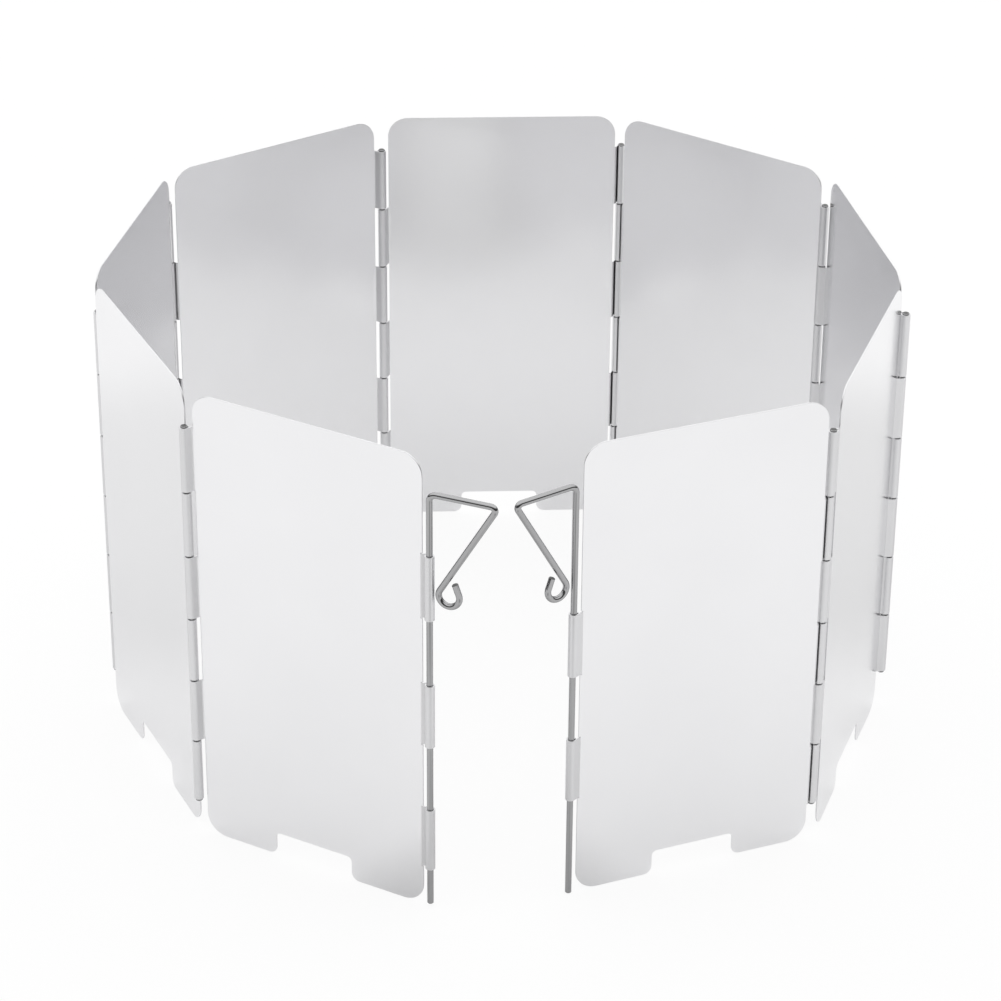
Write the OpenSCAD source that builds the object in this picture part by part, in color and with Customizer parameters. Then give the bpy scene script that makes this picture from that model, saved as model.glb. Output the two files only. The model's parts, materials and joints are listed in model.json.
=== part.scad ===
// Folding windscreen for a camping stove.
// Nine sheet panels stand in a ring, open at the front. Their upright edges are cut into
// tabs, and every tab is rolled round a wire: a hinge pin between two panels, or a ground
// stake at each free end. The hinge rolls lie on the inside and on the outside by turns, so
// the whole screen folds up like a concertina into a flat stack.

/* [Panels] */
// Height of a panel
panel_h = 134; // [100:1:180]
// Distance along a panel from one hinge line to the next
panel_pitch = 71.5; // [55:0.5:100]
// Thickness of the sheet
sheet_t = 0.4; // [0.3:0.05:0.8]
// Radius of a panel's four corners
corner_r = 6; // [2:0.5:9]

/* [Air notch] */
// Width of the notch between the two feet of a panel
notch_w = 23.5; // [12:0.5:30]
// Height of the notch
notch_h = 7; // [4:0.5:10]
// Radius in the two upper corners of the notch
notch_fillet = 1.4; // [0.5:0.1:2]
// Radius at the inner end of each foot
foot_r = 2.4; // [1:0.1:3]

/* [Hinges] */
// Thickness of the wire that pins and stakes are made of
wire_d = 1.7; // [1.2:0.1:2.6]
// Running clearance all round the wire
run_clear = 0.05; // [0.02:0.01:0.1]
// Number of rows of rolled tabs along an edge
tab_rows = 6; // [4:2:10]
// Plain edge above the first row
hinge_margin = 9.8; // [9.5:0.1:16]
// Plain edge below the last row
foot_margin = 10.5; // [9.5:0.1:16]
// Gap between two rows
row_gap = 0.4; // [0.35:0.05:1]
// How steeply a hinge tab rises off its sheet
hinge_rise = 68; // [55:1:75]
// How steeply a stake's tab rises off its sheet
stake_rise = 27; // [22:1:40]
// Inside radius of the bend at the root of a tab
root_in = 0.2; // [0.1:0.05:0.4]
// Gap between a rolled tab and the plain edge next to it
edge_clear = 0.7; // [0.5:0.1:2]
// Slit left where the end of a hinge roll comes back to its own slope
hinge_seam = 0.45; // [0.1:0.05:0.5]
// Slit left where the end of a stake's roll comes back to its own slope
stake_seam = 0.15; // [0.1:0.05:0.5]
// How far a pin's flattened end is wider than the pin, each side
head_lip = 0.15; // [0.15:0.05:0.4]
// Height of a pin's flattened end
head_h = 0.5; // [0.3:0.1:1]
// Bevel on the rim of a pin's end and on the tip of a stake
end_bevel = 0.2; // [0.1:0.05:0.3]
// Play of a pin below the last roll
pin_play = 0.35; // [0.3:0.05:0.6]

/* [Stakes] */
// Height of a stake from its tip to the handle's level arm
stake_h = 123; // [100:0.1:170]
// How far the left stake is drawn up off the ground
stake_lift = 0.9; // [0:0.1:2]
// How far the left stake's tabs stand above the rows of the hinges
tab_lift = 1.3; // [0:0.1:1.5]
// Reach of a handle out from its stake
handle_reach = 17.5; // [14:0.5:24]
// Bend where the stake turns into the arm, to the middle of the wire
bend_r = 2; // [1.5:0.1:4]
// Inside radius of the sharp bend at the outer end of the arm
tip_in = 0.3; // [0.2:0.1:2]
// Slope of the return leg, off the upright
return_slope = 30; // [25:1:40]
// Radius of the hook at the end of the return leg, to the middle of the wire
hook_r = 2.8; // [2.2:0.1:4]
// How far round the hook goes
hook_turn = 230; // [180:5:232]
// Straight end of the wire after the hook
hook_tail = 3.2; // [1:0.1:3.2]
// Gap between the hook and the rolled tabs that it slides past
hook_clear = 0.35; // [0.3:0.05:1]

/* [Ring] */
// Gap between the tips of the two handles, which sets how far the ring is closed
tip_gap = 4; // [2:0.5:40]
// Turn of the left handle out of its panel's plane
left_swing = 7; // [-10:1:20]
// Turn of the right handle out of its panel's plane
right_swing = 12; // [-10:1:20]

/* [Hidden] */
PANELS = ["front_left_panel", "near_left_panel", "far_left_panel",
          "rear_left_panel", "rear_centre_panel", "rear_right_panel",
          "far_right_panel", "near_right_panel", "front_right_panel"];
PINS = ["hinge_pin_1", "hinge_pin_2", "hinge_pin_3", "hinge_pin_4",
        "hinge_pin_5", "hinge_pin_6", "hinge_pin_7", "hinge_pin_8"];

$fn = 48;

aluminium = [0.85, 0.85, 0.87];
steel = [0.62, 0.62, 0.63];

// Sizes of a rolled tab: bore, outside and middle of the roll, and the middle of the bend
// at its root. The plain edges of a panel clear the rolls of the next panel.
wire_r = wire_d / 2;
bore_r = wire_r + run_clear;
roll_r = bore_r + sheet_t;
roll_mid = bore_r + sheet_t / 2;
root_r = root_in + sheet_t / 2;
plain_edge = roll_r + edge_clear;

// Rows of tabs, counted from the top; the tabs on line 0 stand off the others' rows
row_pitch = (panel_h - hinge_margin - foot_margin) / tab_rows;
tab_h = row_pitch - row_gap;
function tab_z(row, k = 1) =
    panel_h - hinge_margin - row * row_pitch + row_gap / 2 + (k == 0 ? tab_lift : 0);

// The panels count from the front left round the back to the front right, and the hinge
// lines from the front left edge (0) to the front right edge (9).
last = len(PANELS) - 1;
rear = last / 2;
function at_stake(k) = k == 0 || k == last + 1;
// The tabs on line k rise to the inside of the ring (-1) or to its outside (1)
function side(k) = k % 2 == 0 ? -1 : 1;
// How far line k stands off the middle of its sheets: a hinge roll ends level with the
// back of its sheet, and a stake's roll has the sheet behind its middle
function off(k) = at_stake(k) ? 0 : side(k) * roll_mid;
function rise(k) = at_stake(k) ? stake_rise : hinge_rise;
// How far the tabs on line k go round their wire
function roll_turn(k) = 270 + asin((bore_r - (at_stake(k) ? stake_seam : hinge_seam)) / roll_r);
// Slope between the bend at the root and the roll, and where that bend starts
function root_len(k) = root_r * tan(rise(k) / 2);
function slope_len(k) = (abs(off(k)) + roll_mid * cos(rise(k))) / sin(rise(k)) - root_len(k);
function root_x(k) = (roll_mid + abs(off(k)) * cos(rise(k))) / sin(rise(k)) + root_len(k);

// How each hinge, first to last, stands off the ring's mean turn
turn_lean = [-3, -1.5, 5, -7, -1.5, 5, -8.5, 10.5];

function turned(v, a) = [v.x * cos(a) - v.y * sin(a), v.x * sin(a) + v.y * cos(a)];
function along(a) = [cos(a), sin(a)];

// Heading of panel i with the hinges at a mean turn of m, the rear panel lying along X
function heading(i, m) =
    i == rear ? 0
    : i > rear ? heading(i - 1, m) - m - turn_lean[i - 1]
    : heading(i + 1, m) + m + turn_lean[i];

// Where panel i starts: the foot of its first hinge line on the middle of its sheet
function start(i, m) =
    i == rear ? [0, 0]
    : i > rear ? start(i - 1, m) + turned([panel_pitch, off(i)], heading(i - 1, m))
        - turned([0, off(i)], heading(i, m))
    : start(i + 1, m) + turned([0, off(i + 1)], heading(i + 1, m))
        - turned([panel_pitch, off(i + 1)], heading(i, m));

// Hinge line k in plan
function line_at(k, m) =
    k == 0 ? start(0, m) + turned([0, off(0)], heading(0, m))
    : start(k - 1, m) + turned([panel_pitch, off(k)], heading(k - 1, m));

// Direction and outer end of each handle in plan
function left_way(m) = heading(0, m) + 180 + left_swing;
function right_way(m) = heading(last, m) + right_swing;
function left_tip(m) = line_at(0, m) + handle_reach * along(left_way(m));
function right_tip(m) = line_at(last + 1, m) + handle_reach * along(right_way(m));
function tip_gap_at(m) = right_tip(m).x - left_tip(m).x - wire_d;

// Mean turn at which the handles' tips stand tip_gap apart, by halving
function mean_turn(lo, hi, n) =
    let (mid = (lo + hi) / 2)
    n == 0 ? mid
    : tip_gap_at(mid) > tip_gap ? mean_turn(mid, hi, n - 1)
    : mean_turn(lo, mid, n - 1);
turn = mean_turn(20, 40, 30);

// Plan of the ring as it stands, about the middle of the ground that it covers
lines = [for (k = [0 : last + 1]) line_at(k, turn)];
line_x = [for (p = lines) p.x];
line_y = [for (p = lines) p.y];
tip_y = min(left_tip(turn).y, right_tip(turn).y);
middle = [(min(line_x) + max(line_x)) / 2,
          (max(line_y) + roll_r + tip_y - wire_r) / 2];

// Lengths of a stake's wire in its own upright plane. The return leg ends where the hook
// just clears the rolled tabs.
tip_r = wire_r + tip_in;
arm_len = handle_reach - tip_r - bend_r;
tip_turn = 90 + return_slope;
return_from = handle_reach - tip_r + tip_r * cos(return_slope);
hook_mid = roll_r + hook_clear + wire_r + hook_r;
return_to = hook_mid - hook_r * cos(return_slope);
return_len = (return_from - return_to) / sin(return_slope);
// A bend is a hair thicker than the straight lengths, and these run a little way into it,
// so that a bent wire or tab is one piece whatever the angles are
bend_swell = 0.005;
bend_bite = 0.1;
tab_bite = 0.05;

echo(turn = turn, headings = [for (i = [0 : last]) heading(i, turn)]);
echo(lines = [for (p = lines) p - middle]);
echo(starts = [for (i = [0 : last]) start(i, turn) - middle]);
echo(tips = [left_tip(turn) - middle, right_tip(turn) - middle]);
echo(roll_r = roll_r, edge = plain_edge, rows = [for (r = [1 : tab_rows]) tab_z(r)], tab_h = tab_h);

// The corner of a square of side r that lies outside a circle of radius r; the corner of
// the piece that it rounds is at the origin, and the piece lies on the side of +X and +Y
module corner_waste(r, over = 0.5) {
    difference() {
        translate([-over, -over])
            square(r + over);
        translate([r, r])
            circle(r);
    }
}

// Air notch, about the middle of a panel's foot
module notch() {
    difference() {
        translate([-notch_w / 2, -1])
            square([notch_w, notch_h + 1]);
        for (s = [0, 1])
            mirror([s, 0])
                translate([-notch_w / 2, notch_h])
                    mirror([0, 1])
                        corner_waste(notch_fillet, 0.01);
    }
    for (s = [0, 1])
        mirror([s, 0])
            translate([-notch_w / 2, 0])
                mirror([1, 0])
                    corner_waste(foot_r);
}

// Rows with a tab on the first edge of panel i and on its second edge. The second edge of
// the last panel has none in the first row, where the handle of its stake needs the room.
function first_rows(i) = [for (r = [2 : 2 : tab_rows]) r];
function second_rows(i) = [for (r = [i == last ? 3 : 1 : 2 : tab_rows]) r];

// Flat blank of panel i, with its plain edges, feet and notch. Where the bend of a tab starts
// behind the plain edge, the blank is cut back to it.
module blank(i) {
    far_edge = panel_pitch - plain_edge;
    difference() {
        translate([plain_edge, 0])
            square([far_edge - plain_edge, panel_h]);
        for (sz = [0, 1])
            translate([0, sz * panel_h])
                mirror([0, sz]) {
                    translate([plain_edge, 0])
                        corner_waste(corner_r);
                    translate([far_edge, 0])
                        mirror([1, 0])
                            corner_waste(corner_r);
                }
        translate([panel_pitch / 2, 0])
            notch();
        for (r = first_rows(i))
            translate([0, tab_z(r, i) - row_gap / 2])
                square([root_x(i) + tab_bite, row_pitch]);
        for (r = second_rows(i))
            translate([panel_pitch - root_x(i + 1) - tab_bite, tab_z(r) - row_gap / 2])
                square([root_x(i + 1) + tab_bite, row_pitch]);
    }
}

// A flat length of a tab along X, with how far it goes on at either end; what follows
// starts at its far end
module tab_run(length, before = tab_bite, after = tab_bite) {
    translate([-before, bend_swell - sheet_t / 2, 0])
        cube([length + before + after, sheet_t - 2 * bend_swell, tab_h]);
    translate([length, 0, 0])
        children();
}

// A bend of a tab that leaves along X and turns left (a > 0) or right; what follows goes
// on from it
module tab_bend(r, a) {
    s = sign(a);
    translate([0, s * r, 0]) {
        rotate(s > 0 ? -90 : 90 + a)
            rotate_extrude(angle = abs(a))
                translate([r - sheet_t / 2, 0])
                    square([sheet_t, tab_h]);
        rotate(a)
            translate([0, -s * r, 0])
                children();
    }
}

// A tab of line k, which lies at x = 0. From a flat root in the blank it bends up to a
// slope, and then it goes over the wire and round it.
module rolled_tab(row, k) {
    root = 1;
    translate([root_x(k) + root, 0, tab_z(row, k)])
        mirror([0, side(k) > 0 ? 0 : 1, 0])
            rotate(180)
                tab_run(root, before = 0)
                tab_bend(root_r, -rise(k))
                tab_run(slope_len(k))
                tab_bend(roll_mid, roll_turn(k));
}

// Panel i, lying along X with the ring's outside on the side of +Y
module panel(i) {
    color(aluminium)
        translate(start(i, turn) - middle)
            rotate(heading(i, turn)) {
                rotate([90, 0, 0])
                    translate([0, 0, -sheet_t / 2])
                        linear_extrude(sheet_t)
                            blank(i);
                for (r = first_rows(i))
                    rolled_tab(r, i);
                translate([panel_pitch, 0, 0])
                    mirror([1, 0, 0])
                        for (r = second_rows(i))
                            rolled_tab(r, i + 1);
            }
}

// Pin of hinge line k, with a flattened end above the first roll and one below the last
module hinge_pin(k) {
    top = tab_z(1) + tab_h;
    foot = tab_z(tab_rows) - pin_play;
    head_r = wire_r + head_lip;
    color(steel)
        translate(lines[k] - middle)
            rotate_extrude()
                polygon([
                    [0, foot - head_h],
                    [head_r - end_bevel, foot - head_h],
                    [head_r, foot - head_h + end_bevel],
                    [head_r, foot],
                    [wire_r, foot],
                    [wire_r, top],
                    [head_r, top],
                    [head_r, top + head_h - end_bevel],
                    [head_r - end_bevel, top + head_h],
                    [0, top + head_h]
                ]);
}

// A straight length of wire along X, with how far it goes on at either end; what follows
// starts at its far end
module wire_run(length, before = bend_bite, after = bend_bite) {
    translate([-before, 0, 0])
        rotate([0, 90, 0])
            cylinder(d = wire_d, h = length + before + after);
    translate([length, 0, 0])
        children();
}

// A bend that leaves along X and turns left (a > 0) or right; what follows goes on from it
module wire_bend(r, a) {
    s = sign(a);
    translate([0, s * r, 0]) {
        rotate(s > 0 ? -90 : 90 + a)
            rotate_extrude(angle = abs(a))
                translate([r, 0])
                    circle(wire_r + bend_swell);
        rotate(a)
            translate([0, -s * r, 0])
                children();
    }
}

// A ground stake: one wire, bent to a level arm, a sloping return leg and a hook
module stake() {
    rotate([90, 0, 0])
        rotate(90) {
            rotate([0, 90, 0])
                cylinder(r1 = wire_r - end_bevel, r2 = wire_r, h = end_bevel);
            translate([end_bevel, 0, 0])
                wire_run(stake_h - bend_r - end_bevel, before = 0)
                wire_bend(bend_r, -90)
                wire_run(arm_len)
                wire_bend(tip_r, -tip_turn)
                wire_run(return_len)
                wire_bend(hook_r, hook_turn)
                wire_run(hook_tail, after = 0);
        }
}

module left_stake() {
    color(steel)
        translate(concat(lines[0] - middle, stake_lift))
            rotate(left_way(turn))
                stake();
}

module right_stake() {
    color(steel)
        translate(lines[last + 1] - middle)
            rotate(right_way(turn))
                stake();
}

for (i = [0 : last])
    panel(i);
for (k = [0 : len(PINS) - 1])
    hinge_pin(k + 1);
left_stake();
right_stake();
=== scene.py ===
# %% [markdown]
# A folding windscreen for a camping stove
#
# Nine panels of thin aluminium sheet stand in a ring that is open at the front. The upright
# edges of each panel are cut into tabs, every tab is rolled round a wire, and so the wires
# are the hinge pins. At the two free edges the wire is longer: there it is a ground stake,
# bent at the top to a handle that ends in a hook.
#
# The frame holds the real sizes and places. Here each piece is made again in the way that
# it is made in the workshop: the sheet is cut flat and then rolled, the wire is drawn
# straight and then bent.

# %% Load the frame
import json
import math

import bmesh
import bpy
from mathutils import Matrix, Vector
from mathutils.geometry import delaunay_2d_cdt


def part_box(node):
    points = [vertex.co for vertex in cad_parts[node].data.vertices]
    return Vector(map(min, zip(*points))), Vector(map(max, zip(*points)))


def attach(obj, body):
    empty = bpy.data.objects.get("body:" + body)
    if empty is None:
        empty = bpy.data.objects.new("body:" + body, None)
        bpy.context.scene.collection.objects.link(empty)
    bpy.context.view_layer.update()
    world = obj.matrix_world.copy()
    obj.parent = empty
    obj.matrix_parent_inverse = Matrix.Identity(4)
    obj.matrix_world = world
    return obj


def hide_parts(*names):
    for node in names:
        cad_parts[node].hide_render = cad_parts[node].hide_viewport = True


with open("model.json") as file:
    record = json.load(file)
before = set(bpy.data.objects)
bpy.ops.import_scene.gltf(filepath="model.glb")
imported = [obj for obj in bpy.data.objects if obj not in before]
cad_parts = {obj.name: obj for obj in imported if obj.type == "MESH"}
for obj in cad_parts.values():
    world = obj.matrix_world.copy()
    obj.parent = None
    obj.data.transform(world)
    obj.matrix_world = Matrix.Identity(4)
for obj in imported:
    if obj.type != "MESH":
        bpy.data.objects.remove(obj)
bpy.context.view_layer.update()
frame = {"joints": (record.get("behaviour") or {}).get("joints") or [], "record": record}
MM = 0.001

# %% [markdown]
# Camera
#
# A camera with a long lens looks down on the ring from the front, a little from the left.
# The focal length is given in pixels of the picture, because that is what a camera fit
# gives. The lens in millimetres follows from it and from the width of the sensor.

# %% Camera
PICTURE_PX = 1001
FOCAL_PX = 3531.6
SENSOR_MM = 36.0
CAMERA_BACK = 859.85 * MM
CAMERA_HEIGHT = 548.2 * MM
LOOK_DOWN = math.radians(29.370)
LOOK_RIGHT = math.radians(2.607)
ROLL = math.radians(0.470)

ahead = Vector((math.sin(LOOK_RIGHT), math.cos(LOOK_RIGHT), 0))
look = ahead * math.cos(LOOK_DOWN) - Vector((0, 0, math.sin(LOOK_DOWN)))
level_right = Vector((math.cos(LOOK_RIGHT), -math.sin(LOOK_RIGHT), 0))
level_up = level_right.cross(look)
right = level_right * math.cos(ROLL) + level_up * math.sin(ROLL)
up = level_up * math.cos(ROLL) - level_right * math.sin(ROLL)

camera_data = bpy.data.cameras.new("camera")
camera_data.sensor_width = SENSOR_MM
camera_data.lens = FOCAL_PX / PICTURE_PX * SENSOR_MM
camera = bpy.data.objects.new("camera", camera_data)
bpy.context.scene.collection.objects.link(camera)
camera.matrix_world = Matrix((right, up, -look)).transposed().to_4x4()
camera.location = Vector((0, 0, CAMERA_HEIGHT)) - ahead * CAMERA_BACK
bpy.context.scene.camera = camera
bpy.context.scene.view_settings.view_transform = "Standard"
print("camera: %.0f mm lens" % camera_data.lens)

# %% [markdown]
# Nodes by name
#
# Each finish below is a small graph of nodes, which could also be drawn by hand in the
# shader editor. A few helpers keep the graphs short: one adds a node and sets its sockets,
# one starts a material and hands over its shader, one spreads a noise over a range of
# values, and one spreads it over a range of colours.

# %% Node helpers
def add_node(tree, kind, **values):
    """A new node; a value whose name is one of its settings is set there, others on sockets."""
    node = tree.nodes.new(kind)
    for name, value in values.items():
        if hasattr(node, name):
            setattr(node, name, value)
        else:
            node.inputs[name.replace("_", " ").title()].default_value = value
    return node


def new_finish(name):
    """A material with its node tree and its main shader."""
    finish = bpy.data.materials.new(name)
    finish.use_nodes = True
    return finish, finish.node_tree, finish.node_tree.nodes["Principled BSDF"]


def spread(tree, source, low, high):
    """The value of a socket, which runs from 0 to 1, spread from low to high."""
    node = add_node(tree, "ShaderNodeMapRange")
    node.inputs["To Min"].default_value = low
    node.inputs["To Max"].default_value = high
    tree.links.new(source, node.inputs["Value"])
    return node.outputs["Result"]


def tint(tree, source, dark, light, low=0.0, high=1.0):
    """A colour that goes from dark to light as the value of a socket goes from low to high."""
    ramp = add_node(tree, "ShaderNodeValToRGB")
    for stop, position, colour in zip(ramp.color_ramp.elements, (low, high), (dark, light)):
        stop.position = position
        stop.color = (*colour, 1)
    tree.links.new(source, ramp.inputs["Fac"])
    return ramp.outputs["Color"]


print("helpers:", [helper.__name__ for helper in (add_node, new_finish, spread, tint)])

# %% [markdown]
# Floor
#
# The screen stands on white paper. The paper gives part of its white by itself to the
# camera, so that the background is plain white, and a smaller part to reflections. The rest
# comes from the light that falls on it, so it keeps the shadow of the screen. Shiny metal
# needs something darker to reflect, or a roll and a wire look as flat as the sheet. A
# photographer lays grey cards on the floor for that. Here the cards are soft ovals in
# front of the screen, in its gap and on both sides, and only the metal sees them.

# %% Floor
FLOOR_RADIUS = 4.0
FLOOR_SIDES = 96
FLOOR_DROP = 0.05 * MM
PAPER_WHITE = (1, 1, 1, 1)
PAPER_ROUGHNESS = 0.9
OWN_WHITE_SEEN = 0.90
OWN_WHITE_MIRRORED = 0.44
FRONT_CARD = dict(middle=(0, -275 * MM, 0), half=(90 * MM, 85 * MM, 1), grey=0.0)
GAP_CARD = dict(middle=(-8 * MM, -125 * MM, 0), half=(50 * MM, 75 * MM, 1), grey=0.58)
LEFT_CARD = dict(middle=(-200 * MM, 60 * MM, 0), half=(110 * MM, 130 * MM, 1), grey=0.72)
RIGHT_CARD = dict(middle=(200 * MM, 60 * MM, 0), half=(110 * MM, 130 * MM, 1), grey=0.62)
CARD_RIM = 0.5


def card(tree, place, middle, half, grey):
    """An oval on the floor: grey in its middle, 1 outside, with a soft rim from CARD_RIM on."""
    oval = add_node(tree, "ShaderNodeMapping", vector_type="TEXTURE")
    oval.inputs["Location"].default_value = middle
    oval.inputs["Scale"].default_value = half
    from_middle = add_node(tree, "ShaderNodeVectorMath", operation="LENGTH")
    rim = add_node(tree, "ShaderNodeMapRange", interpolation_type="SMOOTHSTEP")
    rim.inputs["From Min"].default_value = CARD_RIM
    rim.inputs["From Max"].default_value = 1.0
    rim.inputs["To Min"].default_value = grey
    tree.links.new(place, oval.inputs["Vector"])
    tree.links.new(oval.outputs["Vector"], from_middle.inputs[0])
    tree.links.new(from_middle.outputs["Value"], rim.inputs["Value"])
    return rim.outputs["Result"]


def times(tree, first, second):
    """The product of two values; each is a socket or a number."""
    node = add_node(tree, "ShaderNodeMath", operation="MULTIPLY")
    for value, socket in zip((first, second), node.inputs):
        if isinstance(value, float):
            socket.default_value = value
        else:
            tree.links.new(value, socket)
    return node.outputs[0]


def white_paper():
    """Matt paper that adds a white of its own for the camera and for reflections."""
    finish, tree, shader = new_finish("white_paper")
    shader.inputs["Base Color"].default_value = PAPER_WHITE
    shader.inputs["Roughness"].default_value = PAPER_ROUGHNESS
    shader.inputs["Specular IOR Level"].default_value = 0.0
    place = add_node(tree, "ShaderNodeTexCoord").outputs["Object"]
    cards = 1.0
    for spot in (FRONT_CARD, GAP_CARD, LEFT_CARD, RIGHT_CARD):
        cards = times(tree, card(tree, place, **spot), cards)
    path = add_node(tree, "ShaderNodeLightPath")
    glow = add_node(tree, "ShaderNodeMix", data_type="FLOAT", a=1.0)
    own_white = add_node(tree, "ShaderNodeEmission")
    seen = times(tree, path.outputs["Is Camera Ray"], OWN_WHITE_SEEN)
    mirrored = times(tree, path.outputs["Is Glossy Ray"], OWN_WHITE_MIRRORED)
    share = add_node(tree, "ShaderNodeMath", operation="ADD")
    mix = add_node(tree, "ShaderNodeMixShader")
    tree.links.new(path.outputs["Is Glossy Ray"], glow.inputs["Factor"])
    tree.links.new(cards, glow.inputs["B"])
    tree.links.new(glow.outputs["Result"], own_white.inputs["Strength"])
    tree.links.new(seen, share.inputs[0])
    tree.links.new(mirrored, share.inputs[1])
    tree.links.new(share.outputs[0], mix.inputs["Fac"])
    tree.links.new(shader.outputs["BSDF"], mix.inputs[1])
    tree.links.new(own_white.outputs["Emission"], mix.inputs[2])
    tree.links.new(mix.outputs["Shader"], tree.nodes["Material Output"].inputs["Surface"])
    return finish


floor_mesh = bpy.data.meshes.new("floor")
floor_build = bmesh.new()
bmesh.ops.create_circle(floor_build, cap_ends=True, radius=FLOOR_RADIUS, segments=FLOOR_SIDES)
floor_build.to_mesh(floor_mesh)
floor_build.free()
floor = bpy.data.objects.new("floor", floor_mesh)
floor.location.z = -FLOOR_DROP
floor_mesh.materials.append(white_paper())
bpy.context.scene.collection.objects.link(floor)
print("floor: disc of", FLOOR_RADIUS, "m")

# %% [markdown]
# Tent
#
# The light is a white tent, and the world stands in for it. Satin metal shows what is round
# it more than it shows lamps, so one even, white sky does most of the work. The tent is
# open at the front, where the camera looks in, and there it is dark: that side is what
# draws the dark line along a shiny wire. A leaning axis does this: the height over the
# horizon is measured along it, so the dark reaches higher in front than at the back.

# %% Tent
TENT_DARK = 0.08
TENT_WHITE = 1.29
TENT_FROM = 0.20
TENT_FULL = 0.55
TENT_LEAN = math.radians(22)

tent = bpy.data.worlds.new("tent")
bpy.context.scene.world = tent
tent.use_nodes = True
tent_tree = tent.node_tree
tent_way = add_node(tent_tree, "ShaderNodeTexCoord")
tent_height = add_node(tent_tree, "ShaderNodeVectorMath", operation="DOT_PRODUCT")
tent_height.inputs[1].default_value = (0, math.sin(TENT_LEAN), math.cos(TENT_LEAN))
tent_light = add_node(tent_tree, "ShaderNodeMapRange", interpolation_type="SMOOTHSTEP")
tent_light.inputs["From Min"].default_value = TENT_FROM
tent_light.inputs["From Max"].default_value = TENT_FULL
tent_light.inputs["To Min"].default_value = TENT_DARK
tent_light.inputs["To Max"].default_value = TENT_WHITE
tent_tree.links.new(tent_way.outputs["Generated"], tent_height.inputs[0])
tent_tree.links.new(tent_height.outputs["Value"], tent_light.inputs["Value"])
tent_tree.links.new(tent_light.outputs["Result"], tent_tree.nodes["Background"].inputs["Color"])
print("tent: white", TENT_WHITE, "overhead, dark", TENT_DARK, "at the open front")

# %% [markdown]
# Sheet finish
#
# The panels are rolled aluminium sheet with a clear anodised skin. It is a metal, so its
# colour sits in its reflection: a pale grey with a trace of blue. The rolling mill leaves
# a fine grain along the strip, the anodising bath a fine tooth in every direction, and the
# sheet is never quite flat. All three are noise textures on the flat sheet's own
# coordinates, stretched for the grain. They turn the roughness and the bump a little, and
# the broad waves also turn the colour by a per cent or two. The rolling tool scuffs the
# tabs, so they are the same metal with a rougher face. Their darker grey is painted shade,
# for the shade in the rolls and their bends.

# %% Sheet finish
UV_UNIT = 100 * MM
TRACE_OF_BLUE = (1.0, 0.999, 1.012)
WAVES = dict(scale_x=3, scale_y=3, detail=2)
GRAIN = dict(scale_x=6, scale_y=260, detail=3)
TOOTH = dict(scale_x=420, scale_y=420, detail=1)
SHEAR_MARKS = dict(scale_x=120, scale_y=120, detail=2)
WAVE_DEPTH = 0.05 * MM
GRAIN_DEPTH = 0.002 * MM


def sheet_noise(tree, name, scale_x, scale_y, detail):
    """Noise on the UV map of a sheet or a wire; the scales count the features in 100 mm."""
    flat = add_node(tree, "ShaderNodeUVMap", uv_map=name)
    stretch = add_node(tree, "ShaderNodeMapping")
    stretch.inputs["Scale"].default_value = (scale_x, scale_y, 1)
    noise = add_node(tree, "ShaderNodeTexNoise", scale=1.0, detail=detail)
    tree.links.new(flat.outputs["UV"], stretch.inputs["Vector"])
    tree.links.new(stretch.outputs["Vector"], noise.inputs["Vector"])
    return noise.outputs["Fac"]


def add_bump(tree, height, distance, strength, before=None):
    """A bump of a height socket, on top of the one before it."""
    bump = add_node(tree, "ShaderNodeBump", distance=distance, strength=strength)
    tree.links.new(height, bump.inputs["Height"])
    if before is not None:
        tree.links.new(before, bump.inputs["Normal"])
    return bump.outputs["Normal"]


def new_metal(name):
    """A material whose colour sits in its reflection."""
    finish, tree, shader = new_finish(name)
    shader.inputs["Metallic"].default_value = 1.0
    return finish, tree, shader


def aluminium(name, dark, light, smooth, rough):
    """Sheet between two greys, with its roughness between smooth and rough."""
    finish, tree, shader = new_metal(name)
    waves = sheet_noise(tree, "sheet", **WAVES)
    grain = sheet_noise(tree, "sheet", **GRAIN)
    tooth = sheet_noise(tree, "sheet", **TOOTH)
    colours = [[grey * share for share in TRACE_OF_BLUE] for grey in (dark, light)]
    tree.links.new(tint(tree, waves, *colours, low=0.3, high=0.7), shader.inputs["Base Color"])
    tree.links.new(spread(tree, grain, smooth, rough), shader.inputs["Roughness"])
    normal = add_bump(tree, waves, WAVE_DEPTH, strength=0.3)
    normal = add_bump(tree, grain, GRAIN_DEPTH, strength=0.3, before=normal)
    normal = add_bump(tree, tooth, GRAIN_DEPTH, strength=0.4, before=normal)
    tree.links.new(normal, shader.inputs["Normal"])
    return finish


def cut_edge():
    """The sheared edge of the sheet: rougher, with no anodised skin."""
    finish, tree, shader = new_metal("cut_edge")
    shear = sheet_noise(tree, "sheet", **SHEAR_MARKS)
    colour = tint(tree, shear, dark=(0.70, 0.70, 0.71), light=(0.84, 0.84, 0.85))
    tree.links.new(colour, shader.inputs["Base Color"])
    tree.links.new(spread(tree, shear, 0.32, 0.48), shader.inputs["Roughness"])
    return finish


flat_sheet = aluminium("satin_aluminium", dark=0.850, light=0.866, smooth=0.14, rough=0.19)
# The tabs' darker grey is painted shade for the shade in the rolls; their rougher face is real.
painted_shade_tab = aluminium("rolled_aluminium_painted_shade", dark=0.70, light=0.74, smooth=0.30, rough=0.40)
sheared = cut_edge()
# Each face finish has the finish of its cut edge in the slot after it.
sheet_finishes = [flat_sheet, sheared, painted_shade_tab, sheared]
FLAT_SLOT = sheet_finishes.index(flat_sheet)
TAB_SLOT = sheet_finishes.index(painted_shade_tab)
print("sheet finishes:", [finish.name for finish in sheet_finishes])
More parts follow.
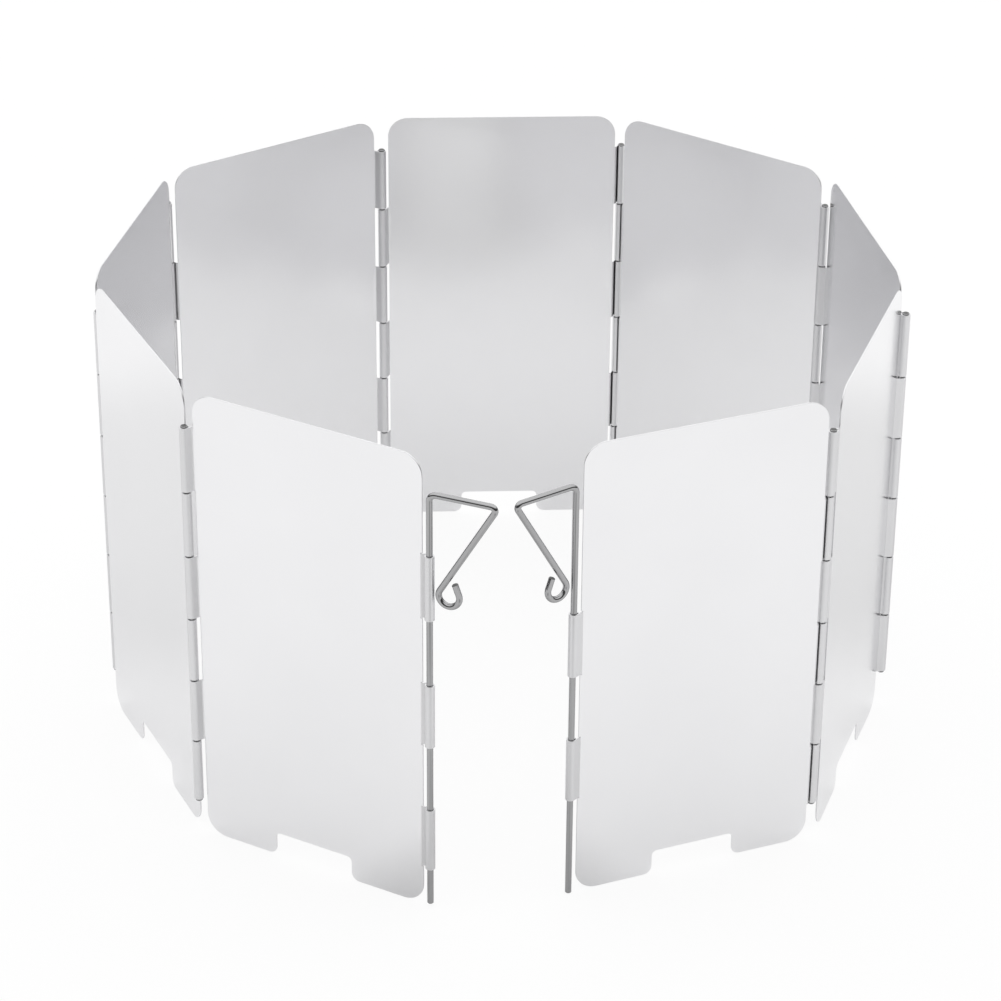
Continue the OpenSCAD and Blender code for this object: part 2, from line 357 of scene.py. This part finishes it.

# %% [markdown]
# Wire finish
#
# Pins and stakes are bright drawn steel wire, and their grey is painted darker: painted
# shade for the dark that the wire reflects from the open front. Drawing through a die
# leaves fine streaks along the wire, so the noise is stretched along it and short round it.
# Where the wire is cut off or peened over, the end is rough and painted nearly black:
# painted shade for the dark spot at the end of a pin.

# %% Wire finish
STREAKS = dict(scale_x=2, scale_y=900, detail=2)
STREAK_DEPTH = 0.002 * MM
HAMMER_MARKS = dict(scale_x=500, scale_y=500, detail=2)


def drawn_wire_painted_shade():
    """Bright steel with streaks along the wire, its grey painted darker as shade."""
    finish, tree, shader = new_metal("drawn_wire_painted_shade")
    streaks = sheet_noise(tree, "wire", **STREAKS)
    # Both greys are set below bright steel: painted shade for the dark the wire reflects.
    colour = tint(tree, streaks, (0.32, 0.32, 0.325), (0.46, 0.46, 0.465), low=0.25, high=0.75)
    tree.links.new(colour, shader.inputs["Base Color"])
    tree.links.new(spread(tree, streaks, 0.08, 0.16), shader.inputs["Roughness"])
    tree.links.new(add_bump(tree, streaks, STREAK_DEPTH, strength=0.5), shader.inputs["Normal"])
    return finish


def wire_end_painted_shade():
    """A cut or hammered end: rough, with marks in every direction, painted dark as shade."""
    finish, tree, shader = new_metal("wire_end_painted_shade")
    marks = sheet_noise(tree, "wire", **HAMMER_MARKS)
    # The near black is painted shade, for the dark spot at the end of a pin.
    colour = tint(tree, marks, dark=(0.06, 0.06, 0.06), light=(0.22, 0.22, 0.22))
    tree.links.new(colour, shader.inputs["Base Color"])
    tree.links.new(spread(tree, marks, 0.30, 0.50), shader.inputs["Roughness"])
    return finish


wire_finishes = [drawn_wire_painted_shade(), wire_end_painted_shade()]
WIRE_SLOT = 0
END_SLOT = 1
print("wire finishes:", [finish.name for finish in wire_finishes])

# %% [markdown]
# Where the panels stand
#
# The panels count from the front left round the back to the front right, and the hinge
# lines from the left stake to the right stake. The frame gives the lines: a hinge has its
# joint there, and a stake has its tip. A hinge line lies beside the sheet and not in it, on
# the inside of the ring and on its outside by turns, because each tab rises to one side.
# A stake stands in the middle of the sheet. From two lines and how far they stand off the
# sheet follow a panel's heading and the point where it starts. The left stake is drawn up a
# little, so its tip hangs just over the ground, but all the lines start on the ground.

# %% Hinge lines
PANELS = ["front_left", "near_left", "far_left", "rear_left", "rear_centre",
          "rear_right", "far_right", "near_right", "front_right"]
LAST_LINE = len(PANELS)
SHEET = 0.4 * MM
WIRE_R = 0.85 * MM
RUN_CLEAR = 0.05 * MM
ROLL_MID = WIRE_R + RUN_CLEAR + SHEET / 2

mounts = {mount["name"]: Vector(mount["pos_m"]) for mount in frame["record"]["mounts"]}
hinges = {joint["name"]: Vector(joint["pos_m"])
          for joint in frame["joints"] if joint["type"] == "hinge"}
feet = [mounts["left_stake_tip"]]
feet += [hinges["hinge_%d" % k] for k in range(1, LAST_LINE)]
feet += [mounts["right_stake_tip"]]
lines = [Vector((foot.x, foot.y, 0)) for foot in feet]


def side(k):
    """The tabs on line k rise to the inside of the ring (-1) or to its outside (1)."""
    return -1 if k % 2 == 0 else 1


def off(k):
    """How far line k stands off the middle of its sheets, outwards."""
    return 0 if k in (0, LAST_LINE) else side(k) * ROLL_MID


def panel_place(i):
    """Turns a panel that lies along X from its first hinge line into its place in the ring."""
    way = lines[i + 1] - lines[i]
    step = off(i + 1) - off(i)
    pitch = math.sqrt(way.length_squared - step ** 2)
    heading = math.atan2(way.y, way.x) - math.atan2(step, pitch)
    turn = Matrix.Rotation(heading, 4, "Z")
    start = lines[i] - turn @ Vector((0, off(i), 0))
    return Matrix.Translation(start) @ turn, pitch


PITCH = panel_place(0)[1]
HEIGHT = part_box("rear_centre_panel")[1].z
print("panels: %.2f mm from line to line, %.1f mm high" % (PITCH / MM, HEIGHT / MM))

# %% [markdown]
# Shape of a tab
#
# Seen from above, a tab leaves the sheet in a tight bend, climbs a short slope, goes over
# the wire and round it, and stops a little short of its own slope. Hinge tabs are steep and
# end level with the back of the sheet. The tabs that hold a stake rise gently, and their
# roll has the sheet behind its middle. One function gives the point at any length along
# this line, as if it followed the strip through the rolling tool.

# %% Shape of a tab
HINGE_RISE = math.radians(68)
STAKE_RISE = math.radians(27)
ROOT_IN = 0.2 * MM
ROOT_R = ROOT_IN + SHEET / 2
HINGE_SEAM = 0.45 * MM
STAKE_SEAM = 0.15 * MM
ROLL_R = ROLL_MID + SHEET / 2


def rise(k):
    """Slope of the tabs of line k against their sheet."""
    return STAKE_RISE if k in (0, LAST_LINE) else HINGE_RISE


def roll_turn(k):
    """How far a tab of line k goes round its wire."""
    seam = STAKE_SEAM if k in (0, LAST_LINE) else HINGE_SEAM
    return math.radians(270) + math.asin((ROLL_R - SHEET - seam) / ROLL_R)


def root_x(k):
    """Distance from line k to the start of the bend at the root of its tabs."""
    climb = rise(k)
    level = (ROLL_MID + abs(off(k)) * math.cos(climb)) / math.sin(climb)
    return level + ROOT_R * math.tan(climb / 2)


def tab_lengths(k):
    """Lengths of the bend, the slope and the roll."""
    climb = rise(k)
    slope = (abs(off(k)) + ROLL_MID * math.cos(climb)) / math.sin(climb)
    return ROOT_R * climb, slope - ROOT_R * math.tan(climb / 2), ROLL_MID * roll_turn(k)


def tab_point(k, length):
    """Distance from line k and height off the sheet, at a length along the tab."""
    climb = rise(k)
    bend, slope, _ = tab_lengths(k)
    if length < bend:
        turn = length / ROOT_R
        return root_x(k) - ROOT_R * math.sin(turn), ROOT_R * (1 - math.cos(turn))
    if length < bend + slope:
        up = length - bend
        x = root_x(k) - ROOT_R * math.sin(climb) - up * math.cos(climb)
        return x, ROOT_R * (1 - math.cos(climb)) + up * math.sin(climb)
    turn = math.pi / 2 - climb + (length - bend - slope) / ROLL_MID
    return ROLL_MID * math.cos(turn), abs(off(k)) + ROLL_MID * math.sin(turn)


print("roll: %.0f degrees round a hinge pin" % math.degrees(roll_turn(1)))

# %% [markdown]
# The flat blank
#
# A panel starts as a flat blank, punched from sheet: two plain upright edges, four round
# corners, two feet with an air notch between them, and tabs that stand out of the edges.
# Its outline is walked once round, against the clock. Round stretches are arcs, so the
# outline has only the points that it needs.

# %% Outline of the blank
CORNER_R = 6 * MM
NOTCH_W = 23.5 * MM
NOTCH_H = 7 * MM
NOTCH_FILLET = 1.4 * MM
FOOT_R = 2.4 * MM
ROWS = 6
HINGE_MARGIN = 9.8 * MM
FOOT_MARGIN = 10.5 * MM
ROW_GAP = 0.4 * MM
TAB_LIFT = 1.3 * MM
EDGE_CLEAR = 0.7 * MM
PLAIN_EDGE = ROLL_R + EDGE_CLEAR
ROW_PITCH = (HEIGHT - HINGE_MARGIN - FOOT_MARGIN) / ROWS
TAB_H = ROW_PITCH - ROW_GAP
CORNER_STEPS = 16
FOOT_STEPS = 8
FILLET_STEPS = 6


def tab_foot(row, k=1):
    """Height of a tab's lower edge; the rows count from the top, and line 0 has its own."""
    lift = TAB_LIFT if k == 0 else 0
    return HEIGHT - HINGE_MARGIN - row * ROW_PITCH + ROW_GAP / 2 + lift


def arc(middle_x, middle_z, radius, from_deg, to_deg, steps):
    """Points on an arc, both ends included."""
    turns = [math.radians(from_deg + (to_deg - from_deg) * n / steps) for n in range(steps + 1)]
    return [(middle_x + radius * math.cos(t), middle_z + radius * math.sin(t)) for t in turns]


def tab_root(edge, root, foot):
    """Outline past the root of a tab, from the foot up; a root behind the edge gets a slit."""
    head = foot + TAB_H
    slit = ROW_GAP / 2 if abs(root - PITCH / 2) < abs(edge - PITCH / 2) else 0
    points = [(edge, foot - slit), (root, foot - slit), (root, foot)]
    points += [(root, head), (root, head + slit), (edge, head + slit)]
    return points if slit else [points[0], points[2], points[3], points[5]]


def tab_rows(i):
    """Rows with a tab on the first edge of blank i and on its second; they take turns."""
    first_rows = list(range(2, ROWS + 1, 2))
    second_rows = list(range(1, ROWS + 1, 2))
    # The right stake's handle needs the room of the uppermost tab on the last free edge.
    return first_rows, second_rows[1:] if i == LAST_LINE - 1 else second_rows


def blank_outline(i):
    """Outline of blank i up to the roots of its tabs, where their bends begin."""
    first_rows, second_rows = tab_rows(i)
    first_root, second_root = root_x(i), PITCH - root_x(i + 1)
    low, high = PLAIN_EDGE, PITCH - PLAIN_EDGE
    middle = PITCH / 2
    half = NOTCH_W / 2
    fillet_z = NOTCH_H - NOTCH_FILLET
    outline = arc(low + CORNER_R, CORNER_R, CORNER_R, 180, 270, CORNER_STEPS)
    outline += arc(middle - half - FOOT_R, FOOT_R, FOOT_R, -90, 0, FOOT_STEPS)
    outline += arc(middle - half + NOTCH_FILLET, fillet_z, NOTCH_FILLET, 180, 90, FILLET_STEPS)
    outline += arc(middle + half - NOTCH_FILLET, fillet_z, NOTCH_FILLET, 90, 0, FILLET_STEPS)
    outline += arc(middle + half + FOOT_R, FOOT_R, FOOT_R, 180, 270, FOOT_STEPS)
    outline += arc(high - CORNER_R, CORNER_R, CORNER_R, -90, 0, CORNER_STEPS)
    for row in reversed(second_rows):
        outline += tab_root(high, second_root, tab_foot(row))
    outline += arc(high - CORNER_R, HEIGHT - CORNER_R, CORNER_R, 0, 90, CORNER_STEPS)
    outline += arc(low + CORNER_R, HEIGHT - CORNER_R, CORNER_R, 90, 180, CORNER_STEPS)
    for row in first_rows:
        outline += tab_root(low, first_root, tab_foot(row, i))[::-1]
    return outline


print("blank: %d points in its outline" % len(blank_outline(0)))

# %% [markdown]
# From the blank to the rolled panel
#
# The outline is filled with triangles over a coarse grid, so that the flat of the sheet
# can bow by a hair, each panel by another amount. Each tab then goes on as a narrow strip
# of faces past its root, and the shape of the tab says where each step of the strip comes
# to lie. The places on the flat blank stay with the mesh as its UV map, so the grain runs
# round the rolls as it does on the real sheet.

# %% Rolling the tabs
TAB_STEPS = (6, 2, 40)
GRID = 6 * MM
BOW = 0.12 * MM
BOW_CHANGE = 2.1
SAME_POINT = 1e-7
INSIDE_ONLY = 1


def fill_blank(outline):
    """Points and triangles of the flat blank, with grid points inside it."""
    columns = int(PITCH / GRID)
    levels = int(HEIGHT / GRID)
    grid = [(PITCH * (c + 0.5) / columns, HEIGHT * (r + 0.5) / levels)
            for c in range(columns) for r in range(levels)]
    edges = [(n, (n + 1) % len(outline)) for n in range(len(outline))]
    points = [Vector(p) for p in outline + grid]
    border = [list(range(len(outline)))]
    filled = delaunay_2d_cdt(points, edges, border, INSIDE_ONLY, SAME_POINT)
    return [tuple(p) for p in filled[0]], [list(f) for f in filled[2]]


def add_strip(points, faces, k, root, way, foot):
    """Goes on with a tab of line k past its root, in the steps of its bend, slope and roll."""
    corners = []
    head = foot + TAB_H
    for level in (foot, head):
        gaps = [(x - root) ** 2 + (z - level) ** 2 for x, z in points]
        corners.append(gaps.index(min(gaps)))
    last_foot, last_head = corners
    x = root
    for length, steps in zip(tab_lengths(k), TAB_STEPS):
        for n in range(steps):
            x += way * length / steps
            new_foot = len(points)
            points += [(x, foot), (x, head)]
            ring = [last_foot, new_foot, new_foot + 1, last_head]
            faces.append(ring if way > 0 else ring[::-1])
            last_foot, last_head = new_foot, new_foot + 1


def bowed(x, z, bow):
    """Where a point of the flat sheet lies once the sheet has bowed."""
    return Vector((x, bow * math.sin(math.pi * x / PITCH) ** 2, z))


def rolled(i, x, z):
    """Where a point of a tab's strip on panel i lies once the tab is rolled."""
    if x < PITCH / 2:
        out, height = tab_point(i, root_x(i) - x)
        return Vector((out, side(i) * height, z))
    out, height = tab_point(i + 1, x - PITCH + root_x(i + 1))
    return Vector((PITCH - out, side(i + 1) * height, z))


def panel_mesh(i):
    """One panel in its place in the ring, as the middle face of its sheet."""
    first_rows, second_rows = tab_rows(i)
    points, faces = fill_blank(blank_outline(i))
    flat = len(points)
    flat_faces = len(faces)
    for row in first_rows:
        add_strip(points, faces, i, root_x(i), -1, tab_foot(row, i))
    for row in second_rows:
        add_strip(points, faces, i + 1, PITCH - root_x(i + 1), 1, tab_foot(row))
    place = panel_place(i)[0]
    bow = BOW * math.cos(BOW_CHANGE * i)
    formed = [bowed(x, z, bow) for x, z in points[:flat]]
    formed += [rolled(i, x, z) for x, z in points[flat:]]
    mesh = bpy.data.meshes.new(PANELS[i] + "_sheet")
    mesh.from_pydata([place @ point for point in formed], [], faces)
    sheet = mesh.uv_layers.new(name="sheet")
    for loop in mesh.loops:
        x, z = points[loop.vertex_index]
        sheet.data[loop.index].uv = ((x + i * PITCH) / UV_UNIT, z / UV_UNIT)
    for face in mesh.polygons:
        face.use_smooth = True
        face.material_index = TAB_SLOT if face.index >= flat_faces else FLAT_SLOT
    return mesh


print("strip: %d steps from the root of a tab to its end" % sum(TAB_STEPS))

# %% [markdown]
# The nine panels
#
# The middle face gets its thickness from a Solidify modifier, half to each side, with the
# cut edge as a finish of its own. A fine bevel then takes the sharpness off every cut
# edge: it is what catches the light along the rim of a real sheet.

# %% Panels
EDGE_BREAK = 0.07 * MM
EDGE_ANGLE = math.radians(38)


def add_panel(i):
    """Panel i with its thickness and broken edges, on its body."""
    panel = bpy.data.objects.new(PANELS[i] + "_sheet", panel_mesh(i))
    bpy.context.scene.collection.objects.link(panel)
    for finish in sheet_finishes:
        panel.data.materials.append(finish)
    thickness = panel.modifiers.new("thickness", "SOLIDIFY")
    thickness.thickness = SHEET
    thickness.offset = 0
    thickness.use_even_offset = True
    thickness.material_offset_rim = 1
    broken = panel.modifiers.new("broken_edges", "BEVEL")
    broken.width = EDGE_BREAK
    broken.segments = 2
    broken.limit_method = "ANGLE"
    broken.angle_limit = EDGE_ANGLE
    broken.use_clamp_overlap = False
    broken.harden_normals = True
    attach(panel, PANELS[i])
    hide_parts(PANELS[i] + "_panel")
    return panel


panels = [add_panel(i) for i in range(len(PANELS))]
print("panels:", [panel.name for panel in panels])

# %% [markdown]
# Wire
#
# A pin and a stake are both lengths of round wire, so one function makes both: it carries
# a ring of points along a path and closes the two ends. The ring can be wider or narrower
# at any point of the path, which gives a pin its peened ends and a stake its bevelled tip.

# %% A length of wire
WIRE_SIDES = 28
END_ANGLE = math.radians(40)


def wire_rings(path, radii, plane_normal):
    """Rings of points round a path that lies in one plane, and the length up to each ring."""
    turns = [2 * math.pi * k / WIRE_SIDES for k in range(WIRE_SIDES)]
    rings = []
    travelled = [0.0]
    for n, point in enumerate(path):
        before = path[max(n - 1, 0)]
        after = path[min(n + 1, len(path) - 1)]
        across = (after - before).normalized().cross(plane_normal).normalized()
        rings.append([point + radii[n] * (across * math.cos(t) + plane_normal * math.sin(t))
                      for t in turns])
        if n:
            travelled.append(travelled[-1] + (point - path[n - 1]).length)
    return rings, travelled


def wire_mesh(name, path, radii, plane_normal, end_rings):
    """A round wire along a path that lies in one plane; the first and last rings are its ends."""
    build = bmesh.new()
    wire_uv = build.loops.layers.uv.new("wire")
    places, travelled = wire_rings(path, radii, plane_normal)
    rings = [[build.verts.new(place) for place in ring] for ring in places]
    for n in range(len(rings) - 1):
        for k in range(WIRE_SIDES):
            corners = [(n, k), (n, k + 1), (n + 1, k + 1), (n + 1, k)]
            face = build.faces.new([rings[r][c % WIRE_SIDES] for r, c in corners])
            face.smooth = True
            at_end = n < end_rings or n >= len(rings) - 1 - end_rings
            face.material_index = END_SLOT if at_end else WIRE_SLOT
            for loop, (r, c) in zip(face.loops, corners):
                round_wire = c / WIRE_SIDES * 2 * math.pi * WIRE_R
                loop[wire_uv].uv = (travelled[r] / UV_UNIT, round_wire / UV_UNIT)
    for ring in (rings[0][::-1], rings[-1]):
        cap = build.faces.new(ring)
        cap.material_index = END_SLOT
        for loop in cap.loops:
            loop[wire_uv].uv = (loop.vert.co.x / UV_UNIT, loop.vert.co.y / UV_UNIT)
    bmesh.ops.recalc_face_normals(build, faces=build.faces)
    mesh = bpy.data.meshes.new(name)
    build.to_mesh(mesh)
    build.free()
    mesh.set_sharp_from_angle(angle=END_ANGLE)
    for finish in wire_finishes:
        mesh.materials.append(finish)
    return mesh


def add_wire(name, mesh, body, node):
    """A wire on its body, in the place of a node of the frame."""
    wire = bpy.data.objects.new(name, mesh)
    bpy.context.scene.collection.objects.link(wire)
    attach(wire, body)
    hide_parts(node)
    return wire


print("wire: rings of", WIRE_SIDES, "points, %.1f mm across" % (2 * WIRE_R / MM))

# %% [markdown]
# Hinge pins
#
# A pin is a straight length of wire whose two ends are peened over, so that it can't fall
# out of the rolls. Only these ends and a hair's breadth between two rolls ever show. The
# ends are low domes: a hammer leaves no sharp rim. Their middle is painted dark: painted
# shade for the dark spot at the end of a pin.

# %% Hinge pins
HEAD_LIP = 0.15 * MM
HEAD_H = 0.5 * MM
PIN_PLAY = 0.35 * MM
HEAD_STEPS = 5
# Rings at each end of a pin that take the dark end finish, which is painted shade.
DARK_STEPS = 2
DOME_END = math.radians(84)


def pin_profile():
    """Height and radius along a pin, from the foot up."""
    foot = tab_foot(ROWS) - PIN_PLAY
    top = tab_foot(1) + TAB_H
    head_r = WIRE_R + HEAD_LIP
    turns = [DOME_END * n / HEAD_STEPS for n in range(HEAD_STEPS + 1)]
    dome = [(HEAD_H * math.sin(t), head_r * math.sqrt(math.cos(t))) for t in turns]
    profile = [(foot - height, radius) for height, radius in reversed(dome)]
    profile += [(foot, WIRE_R), (top, WIRE_R)]
    profile += [(top + height, radius) for height, radius in dome]
    return profile


profile = pin_profile()
pin_radii = [radius for height, radius in profile]
pins = []
for k in range(1, len(PANELS)):
    pin_name = "hinge_pin_%d" % k
    pin_path = [lines[k] + Vector((0, 0, height)) for height, radius in profile]
    pin_mesh = wire_mesh(pin_name + "_wire", pin_path, pin_radii, Vector((1, 0, 0)), DARK_STEPS)
    pins.append(add_wire(pin_name + "_wire", pin_mesh, PANELS[k - 1], pin_name))
print("pins:", len(pins), "of %.1f mm" % ((pin_path[-1].z - pin_path[0].z) / MM))

# %% [markdown]
# Ground stakes
#
# Each stake is one wire. It runs up through the rolled tabs of the free edge, turns level
# for the handle, turns sharply back down towards the stake and ends in an open hook. The
# bends are walked one after the other in the stake's own upright plane: so far straight
# on, so far round.

# %% Ground stakes
STAKE_H = 123 * MM
REACH = 17.5 * MM
BEND_R = 2 * MM
TIP_IN = 0.3 * MM
TIP_R = WIRE_R + TIP_IN
RETURN_SLOPE = math.radians(30)
HOOK_R = 2.8 * MM
HOOK_TURN = math.radians(230)
HOOK_TAIL = 3.2 * MM
HOOK_CLEAR = 0.35 * MM
END_BEVEL = 0.2 * MM
BEND_STEP = math.radians(6)


def stake_walk():
    """The stake's steps: (length straight on, radius of the bend after it, turn to the left)."""
    return_from = REACH - TIP_R + TIP_R * math.cos(RETURN_SLOPE)
    hook_middle = ROLL_R + HOOK_CLEAR + WIRE_R + HOOK_R
    return_to = hook_middle - HOOK_R * math.cos(RETURN_SLOPE)
    return_length = (return_from - return_to) / math.sin(RETURN_SLOPE)
    return [(STAKE_H - BEND_R, BEND_R, -math.pi / 2),
            (REACH - TIP_R - BEND_R, TIP_R, -math.pi / 2 - RETURN_SLOPE),
            (return_length, HOOK_R, HOOK_TURN),
            (HOOK_TAIL, 0, 0)]


def walk_wire(walk):
    """Points of the walk in an upright plane, as (distance out, height)."""
    out, height, heading = 0.0, 0.0, math.pi / 2
    points = [(out, height)]
    for length, radius, turn in walk:
        out += length * math.cos(heading)
        height += length * math.sin(heading)
        points.append((out, height))
        steps = math.ceil(abs(turn) / BEND_STEP)
        for n in range(steps):
            part = turn / steps
            chord = 2 * radius * math.sin(abs(part) / 2)
            out += chord * math.cos(heading + part / 2)
            height += chord * math.sin(heading + part / 2)
            heading += part
            points.append((out, height))
    return points


def add_stake(name, foot, way):
    """One stake from its tip up, with its handle reaching out along way."""
    path = [foot + way * out + Vector((0, 0, height)) for out, height in walk_wire(stake_walk())]
    after_tip = path[0] + (path[1] - path[0]).normalized() * END_BEVEL
    before_end = path[-1] - (path[-1] - path[-2]).normalized() * END_BEVEL
    path = [path[0], after_tip] + path[1:-1] + [before_end, path[-1]]
    radii = [WIRE_R - END_BEVEL] + [WIRE_R] * (len(path) - 2) + [WIRE_R - END_BEVEL]
    across = way.cross(Vector((0, 0, 1)))
    return add_wire(name + "_wire", wire_mesh(name + "_wire", path, radii, across, 1), name, name)


left_low, left_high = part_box("left_stake")
right_low, right_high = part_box("right_stake")
left_tip = Vector((left_high.x - WIRE_R, left_low.y + WIRE_R, 0))
right_tip = Vector((right_low.x + WIRE_R, right_low.y + WIRE_R, 0))
stakes = [add_stake("left_stake", feet[0], (left_tip - lines[0]).normalized()),
          add_stake("right_stake", feet[-1], (right_tip - lines[-1]).normalized())]
print("stakes:", [stake.name for stake in stakes])
